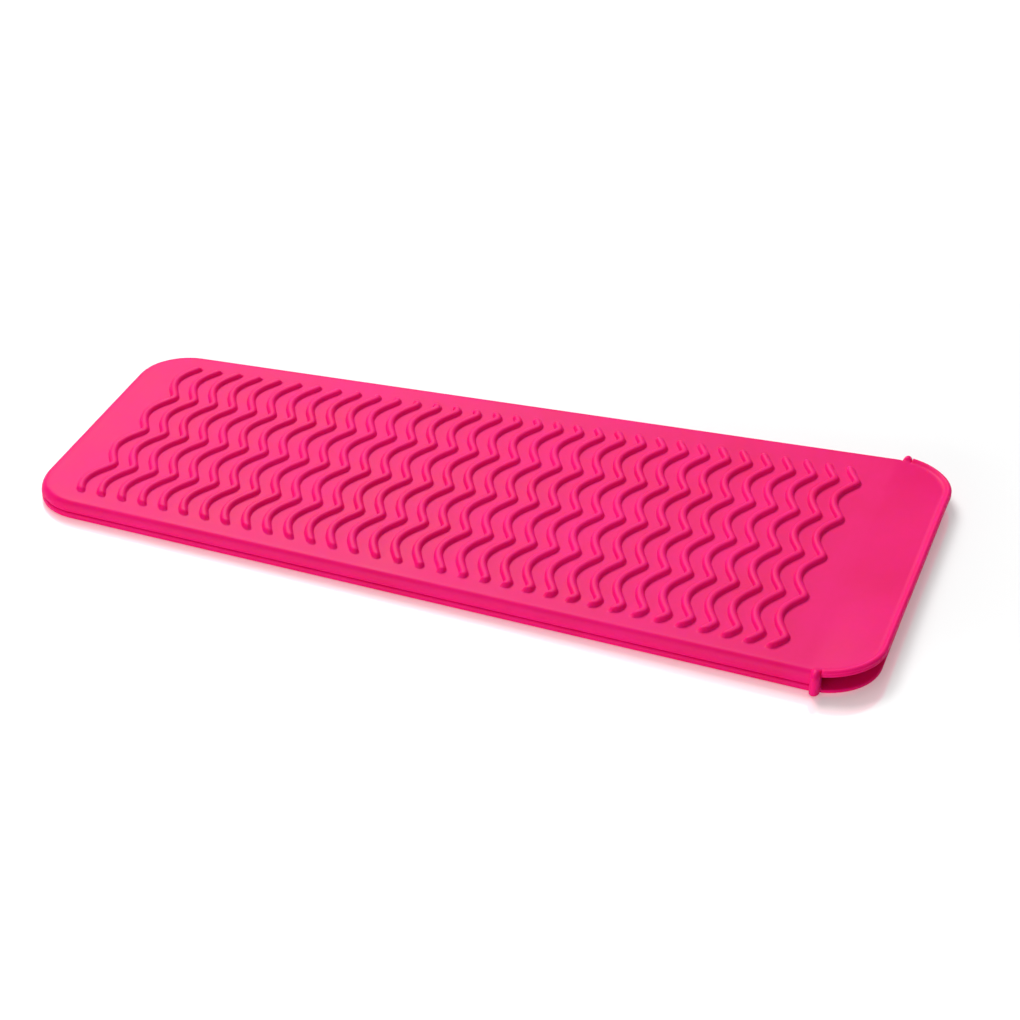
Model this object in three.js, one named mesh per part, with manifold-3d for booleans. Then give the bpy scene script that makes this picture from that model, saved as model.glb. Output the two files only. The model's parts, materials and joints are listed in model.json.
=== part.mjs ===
// Heat mat for a hair straightener: a flat, tapered silicone pocket, open at its wide end.
//
// Millimetres. +X runs from the closed end to the mouth and +Z is up. The origin is under the
// middle of the mat, on the surface that it lies on. The real mat is two mouldings: a flat
// bottom sheet, and a top shell whose side walls come down to the sheet and are bonded to it.
// Here both are divided where the mat bends, so that each stiff stretch is a solid of its own.
import * as THREE from "three";
import { mergeVertices } from "three/addons/utils/BufferGeometryUtils.js";
import Module from "manifold-3d";

const wasm = await Module();
wasm.setup();

// Outline, seen from above.
const closedEndX = -140.6;
const baseLength = 280;
const lipOverhang = 1.2; // how far the top lip reaches past the bottom lip
const closedWidth = 101.5;
const mouthWidth = 130.7; // at the end of the bottom sheet
const cornerRadius = 18;

// Heights of the top face above the table.
const closedHeight = 5.7;
const mouthHeight = 6.9; // where the top sheet would end if its lip were not flared
const lipFlare = 0.1; // extra slope of the top lip, which stands a little open

const sheetThickness = 1.2;
const wallThickness = 2;
const gap = 0.3; // between solids that touch on the real mat
const sheetEdge = 0.4; // rounding of the bottom sheet's edge
const shoulder = 0.5; // rounding of the top sheet's edge
const topInset = 1; // the top face is narrower than the walls by this much a side

// Where the mat bends.
const foldX = 0;
const lipHingeX = 125;

// Wavy ridges across the top: a row of arcs that bulge to the closed end and meet in corners.
const ridgeCount = 33;
const ridgePitch = 7.21;
const ridgeWave = 22.96; // from one corner to the next, across the mat
const ridgeBulge = 5;
const ridgeWidth = 2.2;
const ridgeHeight = 1.4;
const firstCorner = [-120.3, -2.5]; // middle corner of the ridge nearest the closed end
const ridgeTurn = -0.005; // radians that the ridge field is off square
const nearMargin = 8.3; // plain border along the near long edge
const farMargins = [9.8, 12.5]; // along the far long edge, at the first ridge and at the last
const stepsPerWave = 4;

// Stop ribs on the side walls, where the walls end and the lips begin.
const ribX = 122.8;
const ribWidth = 2.8;
const ribProud = 2.2;
const ribRise = 1.2; // above the top face

// Bead round the edge of the top lip.
const beadWidth = 2.4;
const beadHeight = 1;
const beadEdge = 0.5;

const arcSteps = 8; // in each rounded corner
const far = 400; // larger than the mat, for cutting solids
const taper = Math.atan((mouthWidth - closedWidth) / 2 / baseLength);
const slope = (mouthHeight - closedHeight) / baseLength;

const fromClosedEnd = (x) => x - closedEndX;
const halfWidth = (x) => closedWidth / 2 + Math.tan(taper) * fromClosedEnd(x);
const topHeight = (x) => closedHeight + slope * fromClosedEnd(x);

// A three.js geometry as a solid that can be joined and cut.
function solid(geometry) {
  geometry.deleteAttribute("normal");
  geometry.deleteAttribute("uv");
  const merged = mergeVertices(geometry, 1e-4);
  const mesh = new wasm.Mesh({
    numProp: 3,
    vertProperties: new Float32Array(merged.attributes.position.array),
    triVerts: new Uint32Array(merged.index.array),
  });
  return new wasm.Manifold(mesh);
}

// A solid as a three.js geometry.
function geometryOf(body) {
  const { vertProperties, triVerts } = body.getMesh();
  const geometry = new THREE.BufferGeometry();
  geometry.setAttribute("position", new THREE.BufferAttribute(vertProperties, 3));
  geometry.setIndex(new THREE.BufferAttribute(triVerts, 1));
  return geometry;
}

// A solid as a named three.js mesh.
function piece(name, body, material) {
  const geometry = geometryOf(body);
  geometry.computeVertexNormals();
  const mesh = new THREE.Mesh(geometry, material);
  mesh.name = name;
  return mesh;
}

// Tilts a geometry so that its flat top follows the mat's top face, with a flare added past the hinge.
function tilted(geometry, flare = 0) {
  const place = geometry.attributes.position;
  for (let i = 0; i < place.count; i += 1) {
    const x = place.getX(i);
    place.setZ(i, place.getZ(i) + slope * fromClosedEnd(x) + flare * (x - lipHingeX));
  }
  return geometry;
}

// The tapered outline with rounded corners, pulled in by an inset all round. The overhang makes it
// longer at the mouth.
function outline(inset, overhang) {
  const radius = cornerRadius - inset;
  const closedX = closedEndX + cornerRadius;
  const mouthX = closedEndX + baseLength + overhang - cornerRadius;
  const closedY = halfWidth(closedX) - cornerRadius / Math.cos(taper);
  const mouthY = halfWidth(mouthX) - cornerRadius / Math.cos(taper);
  const quarter = Math.PI / 2;
  const shape = new THREE.Shape();
  shape.absarc(mouthX, -mouthY, radius, -quarter - taper, 0);
  shape.absarc(mouthX, mouthY, radius, 0, quarter + taper);
  shape.absarc(closedX, closedY, radius, quarter + taper, Math.PI);
  shape.absarc(closedX, -closedY, radius, Math.PI, 3 * quarter - taper);
  return shape;
}

// A plate of the outline between two heights, with its upper and lower edges rounded.
function plate(inset, low, high, edge, overhang = 0) {
  const geometry = new THREE.ExtrudeGeometry(outline(inset + edge, overhang), {
    depth: high - low - 2 * edge,
    curveSegments: arcSteps,
    bevelEnabled: edge > 0,
    bevelThickness: edge,
    bevelSize: edge,
    bevelSegments: 2,
  });
  return geometry.translate(0, 0, low + edge);
}

// A box between two lengths along the mat: all of its width, or one side of it.
function stretch(fromX, toX, side = 0) {
  const box = new THREE.BoxGeometry(toX - fromX, far, far);
  return solid(box.translate((fromX + toX) / 2, (side * far) / 2, 0));
}

const closedHalf = () => stretch(-far, foldX - gap / 2);
const mouthHalf = () => stretch(foldX + gap / 2, lipHingeX - gap / 2);
const lip = () => stretch(lipHingeX + gap / 2, far);

function bottomSheet() {
  return solid(plate(0, 0, sheetThickness, sheetEdge));
}

function topPlate(inset, edge, overhang = 0) {
  return plate(inset, closedHeight - sheetThickness, closedHeight, edge, overhang);
}

// One wavy ridge, as a band drawn from above and raised out of the top face.
function ridge(index) {
  const turn = new THREE.Vector2(Math.cos(ridgeTurn), Math.sin(ridgeTurn));
  const cornerX = firstCorner[0] + index * ridgePitch * turn.x;
  const cornerY = firstCorner[1] + index * ridgePitch * turn.y;
  const farMargin = THREE.MathUtils.lerp(...farMargins, index / (ridgeCount - 1));
  const nearEnd = nearMargin - halfWidth(cornerX) - cornerY;
  const farEnd = halfWidth(cornerX) - farMargin - cornerY;
  const step = ridgeWave / stepsPerWave;
  const across = [nearEnd];
  for (let k = Math.ceil((nearEnd + 1) / step); k * step < farEnd - 1; k += 1) {
    across.push(k * step);
  }
  across.push(farEnd);
  const centre = across.map((y) => {
    const x = -ridgeBulge * Math.abs(Math.sin((Math.PI * y) / ridgeWave));
    return new THREE.Vector2(cornerX + x * turn.x - y * turn.y, cornerY + x * turn.y + y * turn.x);
  });
  const half = new THREE.Vector2(ridgeWidth / 2, 0);
  const upward = centre.map((point) => point.clone().add(half));
  const downward = centre.map((point) => point.clone().sub(half)).reverse();
  const band = new THREE.ExtrudeGeometry(new THREE.Shape([...upward, ...downward]), {
    depth: sheetThickness / 2 + ridgeHeight,
    bevelEnabled: false,
  });
  return solid(tilted(band.translate(0, 0, closedHeight - sheetThickness / 2)));
}

function ridgedTopSheet() {
  let sheet = solid(tilted(topPlate(topInset, shoulder)));
  for (let i = 0; i < ridgeCount; i += 1) {
    sheet = sheet.add(ridge(i));
  }
  return sheet;
}

// The walls all round, from the bottom sheet up to the underside of the top sheet.
function wallRing() {
  const low = sheetThickness + gap;
  const inside = solid(plate(wallThickness, 0, far, 0));
  const below = new THREE.BoxGeometry(far, far, far);
  below.translate(0, 0, closedHeight - sheetThickness - gap - far / 2);
  return solid(plate(0, low, 2 * mouthHeight, 0)).subtract(inside).intersect(solid(tilted(below)));
}

// A half-round rib that stands on a side wall, from the table to just above the top face.
function stopRib(side) {
  const section = new THREE.Shape();
  section.absellipse(0, 0, ribWidth / 2, ribProud, 0, Math.PI);
  const depth = topHeight(ribX) + ribRise - gap;
  const rib = new THREE.ExtrudeGeometry(section, { depth, curveSegments: 12, bevelEnabled: false });
  rib.rotateZ(taper);
  rib.translate(ribX, halfWidth(ribX) + gap, gap);
  if (side < 0) {
    rib.rotateX(Math.PI);
    rib.translate(0, 0, depth + 2 * gap);
  }
  return solid(rib);
}

// The flap over the mouth: the end of the top sheet, with a raised bead round its edge.
function topLip() {
  const low = closedHeight - 2 * beadEdge;
  const raised = plate(0, low, closedHeight + beadHeight, beadEdge, lipOverhang);
  const bead = solid(raised).subtract(solid(plate(beadWidth, 0, far, 0, lipOverhang)));
  const flat = solid(topPlate(0, beadEdge, lipOverhang)).add(bead).intersect(lip());
  return solid(tilted(geometryOf(flat), lipFlare));
}

const silicone = (colour) =>
  new THREE.MeshStandardMaterial({ color: colour, roughness: 0.45, metalness: 0 });
const topSilicone = () => silicone("#f0307e");
const wallSilicone = () => silicone("#ee1f70");
const baseSilicone = () => silicone("#d8165f");

const mat = new THREE.Group();

const base = bottomSheet();
mat.add(piece("bottom_sheet_closed_half", base.intersect(closedHalf()), baseSilicone()));
mat.add(piece("bottom_sheet_mouth_half", base.intersect(mouthHalf()), baseSilicone()));
mat.add(piece("bottom_lip", base.intersect(lip()), baseSilicone()));

const top = ridgedTopSheet();
mat.add(piece("top_sheet_closed_half", top.intersect(closedHalf()), topSilicone()));
mat.add(piece("top_sheet_mouth_half", top.intersect(mouthHalf()), topSilicone()));
mat.add(piece("top_lip", topLip(), topSilicone()));

const walls = wallRing();
const cornerEndX = closedEndX + cornerRadius;
const wallEndX = ribX + ribWidth / 2;
const endWall = walls.intersect(stretch(-far, cornerEndX - gap / 2));
mat.add(piece("closed_end_wall", endWall, wallSilicone()));

for (const [sideName, side] of [["near", -1], ["far", 1]]) {
  const closedWall = walls.intersect(stretch(cornerEndX + gap / 2, foldX - gap / 2, side));
  const mouthWall = walls.intersect(stretch(foldX + gap / 2, wallEndX, side));
  mat.add(piece(`${sideName}_wall_closed_half`, closedWall, wallSilicone()));
  mat.add(piece(`${sideName}_wall_mouth_half`, mouthWall, wallSilicone()));
  mat.add(piece(`${sideName}_stop_rib`, stopRib(side), wallSilicone()));
}

export default mat;
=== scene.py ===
import json
import math

import bpy
import numpy as np
from mathutils import Matrix, Vector


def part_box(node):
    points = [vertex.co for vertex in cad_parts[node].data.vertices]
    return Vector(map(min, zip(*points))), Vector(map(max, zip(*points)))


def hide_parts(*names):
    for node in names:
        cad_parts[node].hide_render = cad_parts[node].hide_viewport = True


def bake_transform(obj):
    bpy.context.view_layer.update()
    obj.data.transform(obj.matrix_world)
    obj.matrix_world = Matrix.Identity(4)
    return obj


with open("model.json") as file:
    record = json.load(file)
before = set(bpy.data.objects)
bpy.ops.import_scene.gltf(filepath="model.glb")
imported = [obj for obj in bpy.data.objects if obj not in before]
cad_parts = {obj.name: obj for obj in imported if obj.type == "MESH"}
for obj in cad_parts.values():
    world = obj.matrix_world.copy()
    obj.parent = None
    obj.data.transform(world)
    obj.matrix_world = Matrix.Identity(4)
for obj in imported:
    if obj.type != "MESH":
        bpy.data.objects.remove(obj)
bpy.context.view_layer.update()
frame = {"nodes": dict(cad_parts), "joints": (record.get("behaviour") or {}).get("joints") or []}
print("frame loaded:", len(frame["nodes"]), "nodes")

# Silicone heat mat for a hair straightener. Lengths below are millimetres, and meshes are made in metres.
# +X runs from the closed end to the mouth, +Y is the far side and +Z is up.


def smooth(t):
    t = np.clip(t, 0, 1)
    return t * t * (3 - 2 * t)


def boxMm(node):
    low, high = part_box(node)
    return [c * 1000 for c in low], [c * 1000 for c in high]


# The outline and heights are read off the CAD walls, so that the skin stays on them.
def lineThrough(x0, a0, x1, a1):
    return lambda x: a0 + (a1 - a0) * (x - x0) / (x1 - x0)


closedWall = boxMm("far_wall_closed_half")[1]
mouthWall = boxMm("far_wall_mouth_half")[1]
ribBox = boxMm("far_stop_rib")
joints = {j["name"]: [c * 1000 for c in j["pos_m"]] for j in frame["joints"]}

matSizes = {
    "cornerRadius": 18.0,
    "sheet": 1.2,  # thickness of the top and bottom sheets
    "cadGap": 0.3,  # the CAD leaves this between the wall and the top sheet
    "gridInset": 3.4,  # the top face is a grid as far out as this, and a swept edge from there
    "ceilingInset": 3.7,
    "bondHeight": 2.1,  # where the shell's wall meets the raised rim of the bottom sheet
}
closedX = boxMm("closed_end_wall")[0][0]
baseEnd = boxMm("bottom_lip")[1][0]
lipEnd = boxMm("top_lip")[1][0]
cornerX = baseEnd - matSizes["cornerRadius"]
halfWidth = lineThrough(closedWall[0], closedWall[1], cornerX, mouthWall[1])
wallTop = lineThrough(closedWall[0], closedWall[2], mouthWall[0], mouthWall[2])
taper = math.atan((mouthWall[1] - closedWall[1]) / (cornerX - closedWall[0]))
ribX = (ribBox[0][0] + ribBox[1][0]) / 2
lipHinge = joints["top_lip_lift"]


def topPlane(x):
    return wallTop(x) + matSizes["sheet"] + matSizes["cadGap"]


# How the mouth stands open: the lip curves up towards its near corner and droops a little elsewhere.
mouthShape = {
    "flareStart": -5.0,  # from the hinge line
    "farDroop": 0.4,
    "cornerDroop": 1.5,  # more at the far corner
    "cornerFrom": 32.0,  # the corner's droop starts this far from the middle line
    "cornerSpread": 30.0,  # and builds up over this width
    "nearGape": 0.45,
    "gapeLead": 3.0,  # the gape starts this far before the ribs
    "gapeLength": 14.0,  # and builds up over this length
    "nearRise": 1.1,  # more at the very end
    "nearReach": 0.1,  # how far the near side's shape reaches past the middle line, in half widths
    "nearSpread": 1.1,  # the width that it builds up over, in half widths
    "splitX": 117.9,  # the main skin ends here, and the lip skin begins
    "bendFrom": -0.8,  # the lips bend between these distances from the hinge line
    "bendTo": 7.5,
}


def faceHeight(x, y):
    m = mouthShape
    start = lipHinge[0] + m["flareStart"]
    t = np.clip((x - start) / (lipEnd - start), 0, 1)
    near = smooth((m["nearReach"] - y / halfWidth(lipEnd)) / m["nearSpread"])
    gape = m["nearGape"] * smooth((x - ribX + m["gapeLead"]) / m["gapeLength"])
    rise = gape + m["nearRise"] * t**1.5
    droop = (1 - near) * m["farDroop"] * t
    corner = smooth((y - m["cornerFrom"]) / m["cornerSpread"]) * t
    return topPlane(x) + near * rise - droop - m["cornerDroop"] * corner


# The raised wavy ridges on the top face.
ridges = {
    "count": 33,
    "pitch": 7.21,
    "wave": 22.96,  # from corner to corner across the mat
    "bulge": 5.25,
    "cornerRound": 0.15,  # share of the bulge that rounds each corner
    "firstCorner": (-120.3, -2.5),
    "turn": -0.005,
    "nearMargin": 8.7,  # plain border on the near side
    "farMargin": lineThrough(-120.3, 10.3, 110.4, 13.0),  # on the far side, wider near the mouth
    "height": 1.4,
    "foot": 1.35,  # half width at the foot
    "squareness": 2.8,  # 2 would be a plain half round
    "endCentre": 0.8,  # from a ridge's end to the middle of its rounding
}


def ridgeShift(across):
    s = np.sin(math.pi * across / ridges["wave"])
    e = ridges["cornerRound"]
    return -ridges["bulge"] * (np.sqrt(s * s + e * e) - e)


def patternPlace(x, y):
    cx, cy = ridges["firstCorner"]
    c, s = math.cos(ridges["turn"]), math.sin(ridges["turn"])
    return (x - cx) * c + (y - cy) * s, (y - cy) * c - (x - cx) * s


def ridgeHeight(x, y):
    along, across = patternPlace(x, y)
    shift = ridgeShift(across)
    index = np.clip(np.round((along - shift) / ridges["pitch"]), 0, ridges["count"] - 1)
    step = 0.05  # for the slope of a ridge's line
    slope = (ridgeShift(across + step) - ridgeShift(across - step)) / (2 * step)
    aside = (along - shift - index * ridges["pitch"]) / np.sqrt(1 + slope * slope)
    ridgeX = ridges["firstCorner"][0] + index * ridges["pitch"]
    margin = np.where(y < 0, ridges["nearMargin"], ridges["farMargin"](ridgeX))
    beyond = np.maximum(np.abs(y) - (halfWidth(ridgeX) - margin - ridges["endCentre"]), 0)
    r = np.clip(np.hypot(aside, beyond) / ridges["foot"], 0, 1)
    return ridges["height"] * np.sqrt(1 - r ** ridges["squareness"])


# Columns run across the mat and follow the ridges, so that each ridge has clean edges.
gridSteps = {
    "ridge": (-3.6, -2.7, -1.9, -1.65, -1.45, -1.27, -1.05, -0.72, -0.36,
              0.0, 0.36, 0.72, 1.05, 1.27, 1.45, 1.65, 1.9, 2.7),
    "rows": 189,
    "baseEvery": 6,  # the plain bottom sheet needs only every sixth row
    "cornerSteps": 16,
    "plainStep": 1.2,
    "plainFrom": 0.9,  # plain columns begin this far past the last ridge's columns
    "plainTo": 0.5,  # and end this far before the split
    "ribSteps": 19,
    "clearance": 0.4,  # least distance from the corners' columns to the others
    "pastField": 2.0,  # columns begin to straighten this far past the ridge field
    "pastRidgeEnds": 1.2,  # and this far past the ridges' ends
}


def columnPlaces(mouthX):
    g = gridSteps
    splitX = mouthShape["splitX"]
    inner = matSizes["cornerRadius"] - matSizes["gridInset"]
    closedEdge = closedX + matSizes["gridInset"]
    mouthEdge = mouthX - matSizes["gridInset"]
    arc = inner * (1 - np.cos(np.linspace(0, math.pi / 2, g["cornerSteps"])))
    ridgeXs = [ridges["firstCorner"][0] + i * ridges["pitch"] for i in range(ridges["count"])]
    field = [x + step for x in ridgeXs for step in g["ridge"]]
    closedEnd = [closedEdge + a for a in arc if closedEdge + a < field[0] - g["clearance"]]
    plain = np.arange(field[-1] + g["plainFrom"], splitX - g["plainTo"], g["plainStep"])
    turns = np.linspace(-math.pi / 2, math.pi / 2, g["ribSteps"])
    rib = ribX + stopRib["halfWidth"] * stopRib["reach"] * np.sin(turns)
    split = splitX + np.array([-0.03, 0, 0.03])  # keeps the shading even across the split
    before = np.linspace(splitX, rib[0], 5)[1:-1]
    after = rib[-1] + np.array([0.05, 0.1, 0.15, 0.7])  # the wall's section turns into the lip's here
    mouthEnd = [mouthEdge - a for a in arc[::-1] if mouthEdge - a > after[-1] + g["clearance"]]
    return np.array([*closedEnd, *field, *plain, *split, *before, *rib, *after, *mouthEnd])


def cornerAt(x, mouthX):
    # centre of the outline's corner arc on the far side, at the end that x is nearer to
    radius = matSizes["cornerRadius"]
    cx = np.where(x < 0, closedX + radius, mouthX - radius)
    return cx, halfWidth(cx) - radius / math.cos(taper)


def insetHalfWidth(u, inset, mouthX):
    # half width of the outline pulled in by inset, round corners included
    reach = matSizes["cornerRadius"] - inset
    cx, cy = cornerAt(u, mouthX)
    joinX = cx - reach * math.sin(taper)
    onArc = np.where(u > 0, u > joinX, u < joinX)
    arc = cy + np.sqrt(np.maximum(reach**2 - (u - cx) ** 2, 0))
    return np.where(onArc, arc, halfWidth(u) - inset / math.cos(taper))


def outwardAt(x, y, mouthX):
    # outward direction of the outline at a point on an inset of it
    cx, cy = cornerAt(x, mouthX)
    cy = cy * np.sign(y)
    angle = np.arctan2(y - cy, x - cx)
    sideAngle = math.pi / 2 + taper
    onArc = np.where(x > 0, np.abs(angle) < sideAngle, np.abs(angle) > sideAngle)
    angle = np.where(onArc, angle, np.sign(y) * sideAngle)
    onEnd = (np.abs(y) <= np.abs(cy)) & ((x - cx) * np.sign(x) > 0)
    return np.where(onEnd, np.sign(x), np.cos(angle)), np.where(onEnd, 0.0, np.sin(angle))


def planGrid(mouthX):
    u = columnPlaces(mouthX)[:, None]
    v = np.linspace(-1, 1, gridSteps["rows"])[None, :]
    width = insetHalfWidth(u, matSizes["gridInset"], mouthX)
    y = v * width
    cx, cy = ridges["firstCorner"]
    c, s = math.cos(ridges["turn"]), math.sin(ridges["turn"])
    across = (y - cy - (u - cx) * s) / c
    shift = ridgeShift(across) - across * s + (u - cx) * (c - 1)
    lastX = cx + (ridges["count"] - 1) * ridges["pitch"]
    closedEdge = closedX + matSizes["gridInset"]
    past = gridSteps["pastField"]
    straightX = mouthShape["splitX"] - gridSteps["clearance"]
    closedFade = smooth((u - closedEdge) / (cx - past - closedEdge))
    mouthFade = 1 - smooth((u - lastX - past) / (straightX - lastX - past))
    ridgeEnd = halfWidth(u) - ridges["nearMargin"] + gridSteps["pastRidgeEnds"]
    sideFade = 1 - smooth((np.abs(y) - ridgeEnd) / np.maximum(width - ridgeEnd, 0.5))
    return u + shift * closedFade * mouthFade * sideFade, y


# Sections of the rim, as (inset, height), from the grid's edge over the outside to the ceiling or floor.
# Every section has the same number of points, so that one can turn into another along the outline.
rim = {
    "shoulder": 2.7,  # width of the rounded shoulder
    "shoulderShare": 0.85,  # part of the wall's height that the shoulder takes
    "shoulderSteps": 10,
    "wallOut": 0.45,  # insets of the wall's outside, its foot and its inside
    "wallFoot": 0.8,
    "wallIn": 2.9,
    "beadCrest": 1.2,  # inset of the highest line of the bead
    "beadHeight": 0.85,
    "beadOut": 0.15,  # inset of the lip's edge
    "lipDrop": 1.25,  # underside of the lip's edge, below the top face
    "baseOut": 0.3,  # inset of the bottom sheet's edge
}
stopRib = {
    "halfWidth": 1.35,
    "proud": 2.2,  # out from the side wall
    "foot": 0.25,  # clear of the table
    "round": 1.3,  # height of its rounded top
    "reach": 1.02,  # its columns and section go this much past its half width
    "joinShare": 0.06,  # part of the half width where its section turns into the wall's
    "lipTurn": 0.15,  # length over which the wall's section turns into the lip's
}


def shoulderPoints(top, foot):
    drop = (top - foot) * rim["shoulderShare"]
    angles = np.linspace(0.09, 1, rim["shoulderSteps"]) * math.pi / 2
    width = rim["shoulder"] - rim["wallOut"]
    return [(rim["wallOut"] + width * (1 - math.sin(a)), top - drop * (1 - math.cos(a))) for a in angles]


def beadPoints(top, outInset, outHeight):
    # up the inner side of the bead to its crest, then round and down to its outer side
    crest, high = rim["beadCrest"], top + rim["beadHeight"]
    width, drop = crest - outInset, high - outHeight
    inner = [(crest + 1.25, top + 0.04), (crest + 0.8, top + 0.28), (crest + 0.38, top + 0.68)]
    turns = np.linspace(0, math.pi / 2, rim["shoulderSteps"] - len(inner))
    return inner + [(crest - width * math.sin(a), outHeight + drop * math.cos(a)) for a in turns]


def wallSection(top):
    foot = matSizes["bondHeight"] + 0.05
    low = top - (top - foot) * rim["shoulderShare"]
    inside = top - matSizes["sheet"]
    return [
        (matSizes["gridInset"], top),
        *shoulderPoints(top, foot),
        (rim["wallOut"] + 0.05, low * 0.65 + foot * 0.35),
        (rim["wallOut"] + 0.22, low * 0.3 + foot * 0.7),
        (rim["wallFoot"] - 0.08, foot + 0.18),
        (rim["wallFoot"] + 0.2, foot + 0.03),
        (rim["wallFoot"] + 0.5, foot),
        (rim["wallIn"] - 0.2, foot),
        (rim["wallIn"], foot + 0.2),
        (rim["wallIn"] + 0.05, foot + 0.6),
        (rim["wallIn"] + 0.1, inside - 0.6),
        (rim["wallIn"] + 0.3, inside - 0.15),
        (matSizes["ceilingInset"], inside),
    ]


def lipSection(top):
    out = rim["beadOut"]
    under = top - matSizes["sheet"]
    low = top - rim["lipDrop"]
    return [
        (matSizes["gridInset"], top),
        *beadPoints(top, out, top - 0.05),
        (out + 0.1, top - 0.2),
        (out + 0.35, top - 0.42),
        (out + 0.08, top - 0.66),
        (out + 0.03, low + 0.3),
        (out + 0.16, low + 0.08),
        (out + 0.45, low),
        (out + 1.1, low),
        (out + 1.7, low),
        (out + 2.3, under),
        (out + 2.9, under),
        (matSizes["ceilingInset"], under),
    ]


def ribSection(top):
    # a rib stands in front of the bottom sheet's rim, nearly down to the table, and its top joins the bead
    out = rim["beadOut"] - stopRib["proud"]
    high = top - stopRib["round"]
    wall = wallSection(top)
    return [
        wall[0],
        *beadPoints(top, out, high),
        (out, high - 0.2),
        (out, (high + stopRib["foot"]) / 2),
        (out, stopRib["foot"] + 0.3),
        (out + 0.2, stopRib["foot"]),
        (rim["baseOut"] - 0.1, stopRib["foot"]),
        (rim["baseOut"] - 0.08, matSizes["bondHeight"] + 0.05),
        *wall[rim["shoulderSteps"] + 7:],
    ]


def baseSection(table):
    out = rim["baseOut"]
    top = table + matSizes["bondHeight"]
    sheet = table + matSizes["sheet"]
    return [
        (matSizes["gridInset"], table),
        (out + 0.85, table),
        (out + 0.4, table + 0.06),
        (out + 0.12, table + 0.25),
        (out, table + 0.55),
        (out + 0.02, top - 0.6),
        (out + 0.18, top - 0.3),
        (out + 0.45, top - 0.07),
        (out + 0.8, top),
        (rim["wallIn"] - 0.2, top),
        (rim["wallIn"], top - 0.2),
        (rim["wallIn"] + 0.1, sheet + 0.35),
        (rim["wallIn"] + 0.35, sheet + 0.08),
        (matSizes["ceilingInset"], sheet),
    ]


def baseLipSection(table):
    out = rim["baseOut"]
    sheet = table + matSizes["sheet"]
    return [
        (matSizes["gridInset"], table),
        (out + 0.75, table),
        (out + 0.35, table + 0.05),
        (out + 0.1, table + 0.2),
        (out, table + 0.45),
        (out + 0.02, sheet - 0.35),
        (out + 0.15, sheet - 0.12),
        (out + 0.38, sheet),
        *[(out + 0.8 + 0.5 * i, sheet) for i in range(5)],
        (matSizes["ceilingInset"], sheet),
    ]


def ribProfile(x):
    # how far out the rib stands, and how much of the section is rib rather than wall
    t = np.abs(x - ribX) / stopRib["halfWidth"]
    return np.sqrt(np.maximum(1 - t * t, 0)), smooth((stopRib["reach"] - t) / stopRib["joinShare"])


def sweptRim(edgeX, edgeY, mouthX, height, wall, lip, rib=None):
    # wall sections behind the ribs, lip sections in front of them
    nx, ny = outwardAt(edgeX, edgeY, mouthX)
    tops = height(edgeX, edgeY)
    proud, isRib = ribProfile(edgeX)
    isLip = smooth((edgeX - ribX - stopRib["halfWidth"]) / stopRib["lipTurn"])
    upper = rim["shoulderSteps"] + 2  # the points that rise into the rib's top
    rows = []
    for i, (x, y) in enumerate(zip(edgeX, edgeY)):
        section = np.array(wall(tops[i]))
        if rib is not None and isRib[i] > 0:
            full = np.array(rib(tops[i]))
            full[:, 0] = section[:, 0] + (full[:, 0] - section[:, 0]) * proud[i]
            full[:upper, 1] = section[:upper, 1] + (full[:upper, 1] - section[:upper, 1]) * proud[i]
            section = section * (1 - isRib[i]) + full * isRib[i]
        section = section * (1 - isLip[i]) + np.array(lip(tops[i])) * isLip[i]
        away = matSizes["gridInset"] - section[:, 0]
        rows.append(np.stack([x + nx[i] * away, y + ny[i] * away, section[:, 1]], 1))
    return np.array(rows)


def meshFrom(name, points, faces, flatFaces):
    mesh = bpy.data.meshes.new(name)
    mesh.from_pydata((np.asarray(points) / 1000).tolist(), [], faces)
    mesh.validate()
    mesh.update()
    smoothFlags = np.ones(len(mesh.polygons), bool)
    smoothFlags[flatFaces] = False
    mesh.polygons.foreach_set("use_smooth", smoothFlags)
    # the points' first places keep the texture still as the mat bends
    rest = mesh.attributes.new("moulding", "FLOAT_VECTOR", "POINT")
    rest.data.foreach_set("vector", (np.asarray(points, np.float32) / 1000).ravel())
    obj = bpy.data.objects.new(name, mesh)
    bpy.context.scene.collection.objects.link(obj)
    return obj


def gridFaces(columns, rows):
    corners = [c * rows + r for c in range(columns - 1) for r in range(rows - 1)]
    return [(a, a + rows, a + rows + 1, a + 1) for a in corners]


def rimFaces(ring):
    spans = [(i, k) for i in range(ring.shape[0] - 1) for k in range(ring.shape[1] - 1)]
    return [(ring[i, k], ring[i + 1, k], ring[i + 1, k + 1], ring[i, k + 1]) for i, k in spans]


def oppositeFaces(inner, columns):
    # strips from one long side to the other, and one face that fills the rounded end
    first, last = inner[:columns], inner[len(inner) - columns:][::-1]
    strips = [(first[i], first[i + 1], last[i + 1], last[i]) for i in range(columns - 2)]
    return [*strips, (*inner[columns - 2:len(inner) - columns + 2],)]


def rimPath(columns, rows, closed):
    # the grid's points round the outline, from the split and back to it
    there, back = range(columns), range(columns - 1, -1, -1)
    if closed:
        path = [(c, 0) for c in back] + [(0, r) for r in range(1, rows - 1)]
        path += [(c, rows - 1) for c in there]
    else:
        path = [(c, rows - 1) for c in there] + [(columns - 1, r) for r in range(rows - 2, 0, -1)]
        path += [(c, 0) for c in back]
    return np.array([c * rows + r for c, r in path])


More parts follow.
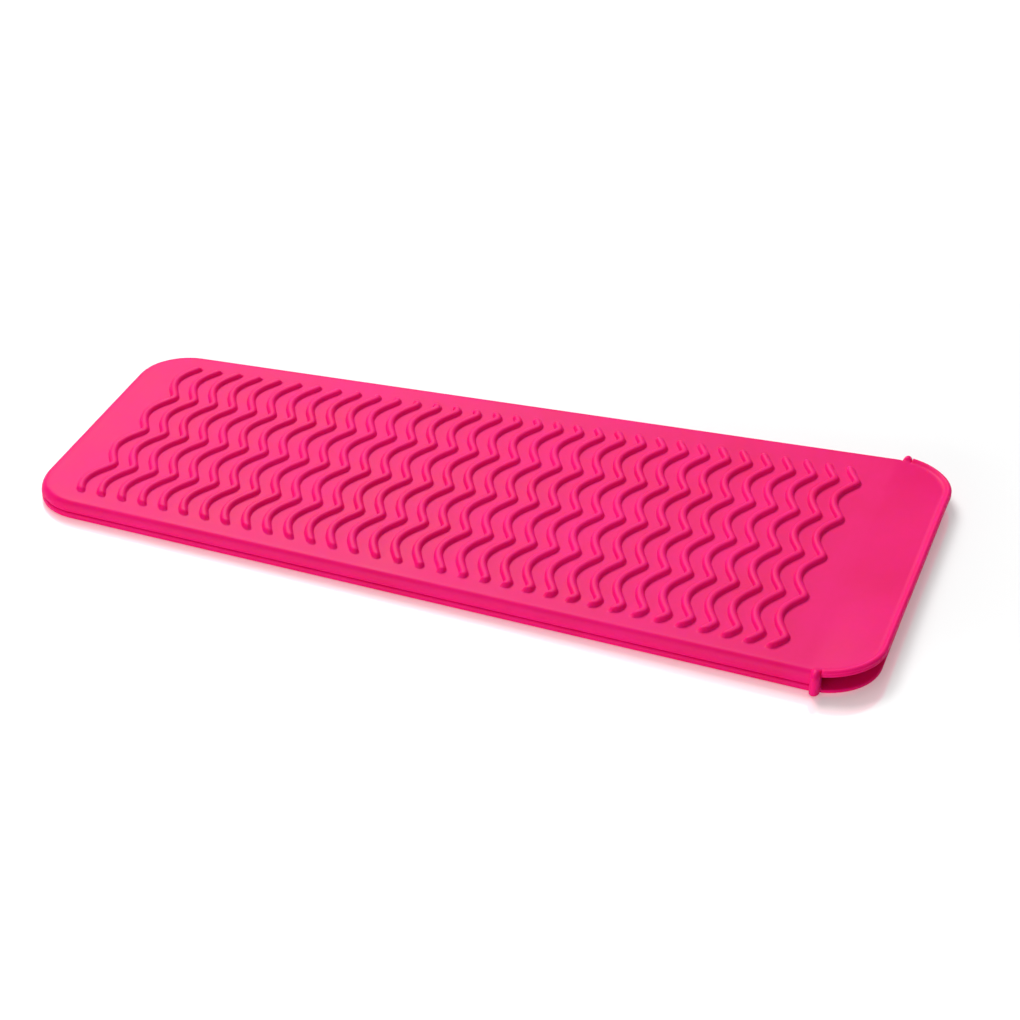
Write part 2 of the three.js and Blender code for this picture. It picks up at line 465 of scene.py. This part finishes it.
def skin(name, span, grid, edgeOf, upsideDown=False):
    # one half of a moulding: a grid face, its swept rim, a plain face opposite, and a flat end at the split
    x, y, z = (g[span[0]:span[1]] for g in grid)
    columns, rows = x.shape
    closed = span[0] == 0
    edge = rimPath(columns, rows, closed)
    sections = edgeOf(x.reshape(-1)[edge], y.reshape(-1)[edge])
    steps = sections.shape[1] - 1
    ring = np.empty((len(edge), steps + 1), int)
    ring[:, 0] = edge
    ring[:, 1:] = columns * rows + np.arange(len(edge) * steps).reshape(len(edge), steps)
    splitRow = np.arange(rows)
    if closed:
        splitRow = (columns - 1) * rows + splitRow[::-1]
    # the flat end comes first, as some renderers keep each point's last normal
    faces = [(*splitRow, *ring[0, 1:], *ring[-1, :0:-1])]
    faces += gridFaces(columns, rows) + rimFaces(ring) + oppositeFaces(ring[:, -1], columns)
    if upsideDown:
        faces = [f[::-1] for f in faces]
    points = [np.stack([x, y, z], 2).reshape(-1, 3), sections[:, 1:].reshape(-1, 3)]
    return meshFrom(name, np.concatenate(points), faces, [0])


def splitColumn(mouthX):
    return int(np.argmin(np.abs(columnPlaces(mouthX) - mouthShape["splitX"])))


def makeShell():
    def edge(x, y):
        return sweptRim(x, y, lipEnd, faceHeight, wallSection, lipSection, ribSection)

    x, y = planGrid(lipEnd)
    z = faceHeight(x, y) + ridgeHeight(x, y)
    split = splitColumn(lipEnd)
    shell = skin("top_shell", (0, split + 1), (x, y, z), edge)
    lip = skin("mouth_lip_top", (split, len(x)), (x, y, z), edge)
    print("top shell made:", len(shell.data.vertices) + len(lip.data.vertices), "points")
    return shell, lip


def makeBase():
    def table(x, y):
        return x * 0

    def edge(x, y):
        return sweptRim(x, y, baseEnd, table, baseSection, baseLipSection)

    y = planGrid(baseEnd)[1][:, ::gridSteps["baseEvery"]]
    x = np.repeat(columnPlaces(baseEnd)[:, None], y.shape[1], 1)
    split = splitColumn(baseEnd)
    grid = (x, y, table(x, y))
    base = skin("bottom_sheet", (0, split + 1), grid, edge, upsideDown=True)
    baseLip = skin("mouth_lip_bottom", (split, len(x)), grid, edge, upsideDown=True)
    print("bottom sheet made:", len(base.data.vertices) + len(baseLip.data.vertices), "points")
    return base, baseLip


def srgb(hexColour):
    parts = [int(hexColour[i:i + 2], 16) / 255 for i in (1, 3, 5)]
    return [p / 12.92 if p <= 0.04045 else ((p + 0.055) / 1.055) ** 2.4 for p in parts] + [1.0]


def addNode(tree, kind, settings=None, links=None):
    node = tree.nodes.new(kind)
    for key, value in (settings or {}).items():
        if hasattr(node, str(key)):
            setattr(node, key, value)
        else:
            node.inputs[key].default_value = value
    for key, source in (links or {}).items():
        tree.links.new(source, node.inputs[key])
    return node


silicone = {
    "deep": "#dc0563",
    "plain": "#df086a",
    "pale": "#e30b71",
    "tones": (0.42, 0.62, 0.82),  # where those colours come in the mottling
    "mottleMm": 26.0,
    "speckMm": 1.6,  # fine specks in the mottling
    "speckShare": 0.25,
    "mottleRange": (0.3, 0.75),  # lowest and highest values of the mottling
    "roughness": 0.47,
    "roughSpread": (-0.05, 0.06),  # from the deepest to the palest mottling
    "ior": 1.41,
    "mirror": 0.14,  # under the usual 0.5, as the mould's texture dulls it
    "grainMm": 0.35,  # the mould's spark texture is about 0.05 mm, drawn coarser so that it shows
    "grainDepthMm": 0.06,
    "grainStrength": 0.12,
    "glow": 0.65,  # share of the light that sinks in, nearly all of it red
    "glowMm": 1.1,
    "glowReach": (1.0, 0.08, 0.12),
    "glowFadeMm": (1.2, 7.0),  # from the split between two skins
}


def mouldedSilicone(name, extraRough=0.0):
    # platinum silicone pressed in a spark-textured mould: satin, slightly see-through, soft pale sheen
    s = silicone
    mat = bpy.data.materials.new(name)
    mat.use_nodes = True
    tree = mat.node_tree
    tree.nodes.clear()
    place = addNode(tree, "ShaderNodeAttribute", {"attribute_name": "moulding"}).outputs["Vector"]
    mottle, speck, grain = [
        addNode(tree, "ShaderNodeTexNoise", {"Scale": 1000 / mm, "Detail": detail}, {"Vector": place})
        for mm, detail in ((s["mottleMm"], 3.0), (s["speckMm"], 2.0), (s["grainMm"], 2.0))
    ]
    mixed = addNode(
        tree, "ShaderNodeMath",
        {"operation": "MULTIPLY_ADD", 1: s["speckShare"]},
        {0: speck.outputs[0], 2: mottle.outputs[0]},
    )
    ramp = addNode(tree, "ShaderNodeValToRGB", None, {"Fac": mixed.outputs[0]})
    deepAt, plainAt, paleAt = s["tones"]
    ramp.color_ramp.elements[0].position = deepAt
    ramp.color_ramp.elements[0].color = srgb(s["deep"])
    ramp.color_ramp.elements[1].position = paleAt
    ramp.color_ramp.elements[1].color = srgb(s["pale"])
    ramp.color_ramp.elements.new(plainAt).color = srgb(s["plain"])
    low, high = s["mottleRange"]
    least, most = [s["roughness"] + spread + extraRough for spread in s["roughSpread"]]
    rough = addNode(
        tree, "ShaderNodeMapRange",
        {"From Min": low, "From Max": high, "To Min": least, "To Max": most},
        {"Value": mixed.outputs[0]},
    )
    bump = addNode(
        tree, "ShaderNodeBump",
        {"Strength": s["grainStrength"], "Distance": s["grainDepthMm"] / 1000},
        {"Height": grain.outputs[0]},
    )
    # the glow fades out at the split, where light can't pass from one skin to the next
    along = addNode(tree, "ShaderNodeSeparateXYZ", None, {"Vector": place})
    fromSplit = addNode(
        tree, "ShaderNodeMath",
        {"operation": "SUBTRACT", 1: mouthShape["splitX"] / 1000},
        {0: along.outputs["X"]},
    )
    distance = addNode(tree, "ShaderNodeMath", {"operation": "ABSOLUTE"}, {0: fromSplit.outputs[0]})
    fadeFrom, fadeTo = [mm / 1000 for mm in s["glowFadeMm"]]
    glow = addNode(
        tree, "ShaderNodeMapRange",
        {"From Min": fadeFrom, "From Max": fadeTo, "To Min": 0.0, "To Max": s["glow"],
         "interpolation_type": "SMOOTHSTEP"},
        {"Value": distance.outputs[0]},
    )
    shader = addNode(
        tree, "ShaderNodeBsdfPrincipled",
        {"IOR": s["ior"], "Subsurface Radius": s["glowReach"], "Subsurface Scale": s["glowMm"] / 1000,
         "Specular IOR Level": s["mirror"]},
        {"Base Color": ramp.outputs["Color"], "Roughness": rough.outputs["Result"],
         "Normal": bump.outputs["Normal"], "Subsurface Weight": glow.outputs["Result"]},
    )
    addNode(tree, "ShaderNodeOutputMaterial", None, {"Surface": shader.outputs["BSDF"]})
    return mat


# Metres, degrees and watts, with the lens and its sensor in millimetres.
studio = {
    "lensMm": 94.9,
    "sensorMm": 36,
    "azimuth": 18.97,
    "elevation": 32.2,
    "roll": 0.3,
    "distance": 0.8636,
    "target": (0.0071, 0.0005, 0.0),
    "floorColour": "#ffffff",
    "floorHalf": 3.0,
    "floorDrop": 0.00005,  # clear of the mat's underside
    "floorIor": 1.6,
    "floorRough": 0.12,
    "floorMirror": 0.35,
    "floorGlow": 0.2,
    "skyColour": "#ffffff",
    "skyStrength": 0.25,
}
softboxes = {
    "key": {"place": (-0.62, 0.93, 1.2), "aim": (0, 0, 0), "size": (0.7, 0.7), "power": 24},
    "overhead": {"place": (-0.2, 0.6, 1.6), "aim": (0, 0.2, 0), "size": (2.0, 2.0), "power": 12},
    "front reflector": {"place": (-0.5, -1.6, 0.3), "aim": (0, 0, 0), "size": (1.8, 0.5), "power": 19},
}


def makeCamera():
    s = studio
    data = bpy.data.cameras.new("camera")
    data.lens = s["lensMm"]
    data.sensor_width = s["sensorMm"]
    data.clip_start = 0.05
    data.clip_end = 50
    cam = bpy.data.objects.new("camera", data)
    a, e = math.radians(s["azimuth"]), math.radians(s["elevation"])
    back = Vector((math.sin(a) * math.cos(e), -math.cos(a) * math.cos(e), math.sin(e)))
    right = Vector((math.cos(a), math.sin(a), 0))
    up = back.cross(right)
    roll = math.radians(s["roll"])
    tilted = right * math.cos(roll) + up * math.sin(roll)
    raised = up * math.cos(roll) - right * math.sin(roll)
    turn = Matrix((tilted, raised, back)).transposed().to_4x4()
    cam.matrix_world = Matrix.Translation(Vector(s["target"]) + back * s["distance"]) @ turn
    bpy.context.scene.collection.objects.link(cam)
    bpy.context.scene.camera = cam


def makeFloor():
    s = studio
    half = s["floorHalf"]
    mesh = bpy.data.meshes.new("floor")
    corners = [(-half, -half, 0), (half, -half, 0), (half, half, 0), (-half, half, 0)]
    mesh.from_pydata(corners, [], [(0, 1, 2, 3)])
    floor = bpy.data.objects.new("floor", mesh)
    floor.location.z = -s["floorDrop"]
    bpy.context.scene.collection.objects.link(floor)
    # polished white acrylic, lit a little from below: thin shadows and a faint mirror of the mat's edge
    mat = bpy.data.materials.new("polished white acrylic")
    mat.use_nodes = True
    shader = mat.node_tree.nodes["Principled BSDF"]
    shader.inputs["Base Color"].default_value = srgb(s["floorColour"])
    shader.inputs["Roughness"].default_value = s["floorRough"]
    shader.inputs["IOR"].default_value = s["floorIor"]
    shader.inputs["Metallic"].default_value = s["floorMirror"]
    shader.inputs["Emission Color"].default_value = srgb(s["floorColour"])
    shader.inputs["Emission Strength"].default_value = s["floorGlow"]
    mesh.materials.append(mat)


def softbox(name, place, aim, size, power):
    data = bpy.data.lights.new(name, "AREA")
    data.shape = "RECTANGLE"
    data.size, data.size_y = size
    data.energy = power
    lamp = bpy.data.objects.new(name, data)
    lamp.location = place
    lamp.rotation_euler = (Vector(aim) - Vector(place)).to_track_quat("-Z", "Y").to_euler()
    bpy.context.scene.collection.objects.link(lamp)


def makeStudio():
    makeCamera()
    makeFloor()
    for name, light in softboxes.items():
        softbox(name, **light)
    world = bpy.data.worlds.new("studio")
    world.use_nodes = True
    sky = world.node_tree.nodes["Background"]
    sky.inputs["Color"].default_value = srgb(studio["skyColour"])
    sky.inputs["Strength"].default_value = studio["skyStrength"]
    bpy.context.scene.world = world
    bpy.context.scene.view_settings.view_transform = "Standard"
    bpy.context.scene.view_settings.look = "None"
    print("studio made:", len(softboxes), "softboxes")


makeStudio()
shell, lip = makeShell()
base, baseLip = makeBase()
topSilicone = mouldedSilicone("moulded silicone, top")
baseSilicone = mouldedSilicone("moulded silicone, base", extraRough=0.04)
topPieces, basePieces = (shell, lip), (base, baseLip)
for piece in topPieces:
    piece.data.materials.append(topSilicone)
for piece in basePieces:
    piece.data.materials.append(baseSilicone)
print("silicone put on", len(topPieces + basePieces), "pieces")

for piece in (shell, base):
    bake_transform(piece)
for piece, body in ((lip, "top_lip"), (baseLip, "bottom_lip")):
    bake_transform(piece)

walls = [f"{side}_wall_{half}_half" for side in ("near", "far") for half in ("closed", "mouth")]
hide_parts("top_sheet_closed_half", "top_sheet_mouth_half", "closed_end_wall", *walls)
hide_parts("top_lip", "near_stop_rib", "far_stop_rib")
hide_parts("bottom_sheet_closed_half", "bottom_sheet_mouth_half")
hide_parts("bottom_lip")

print("pieces placed")
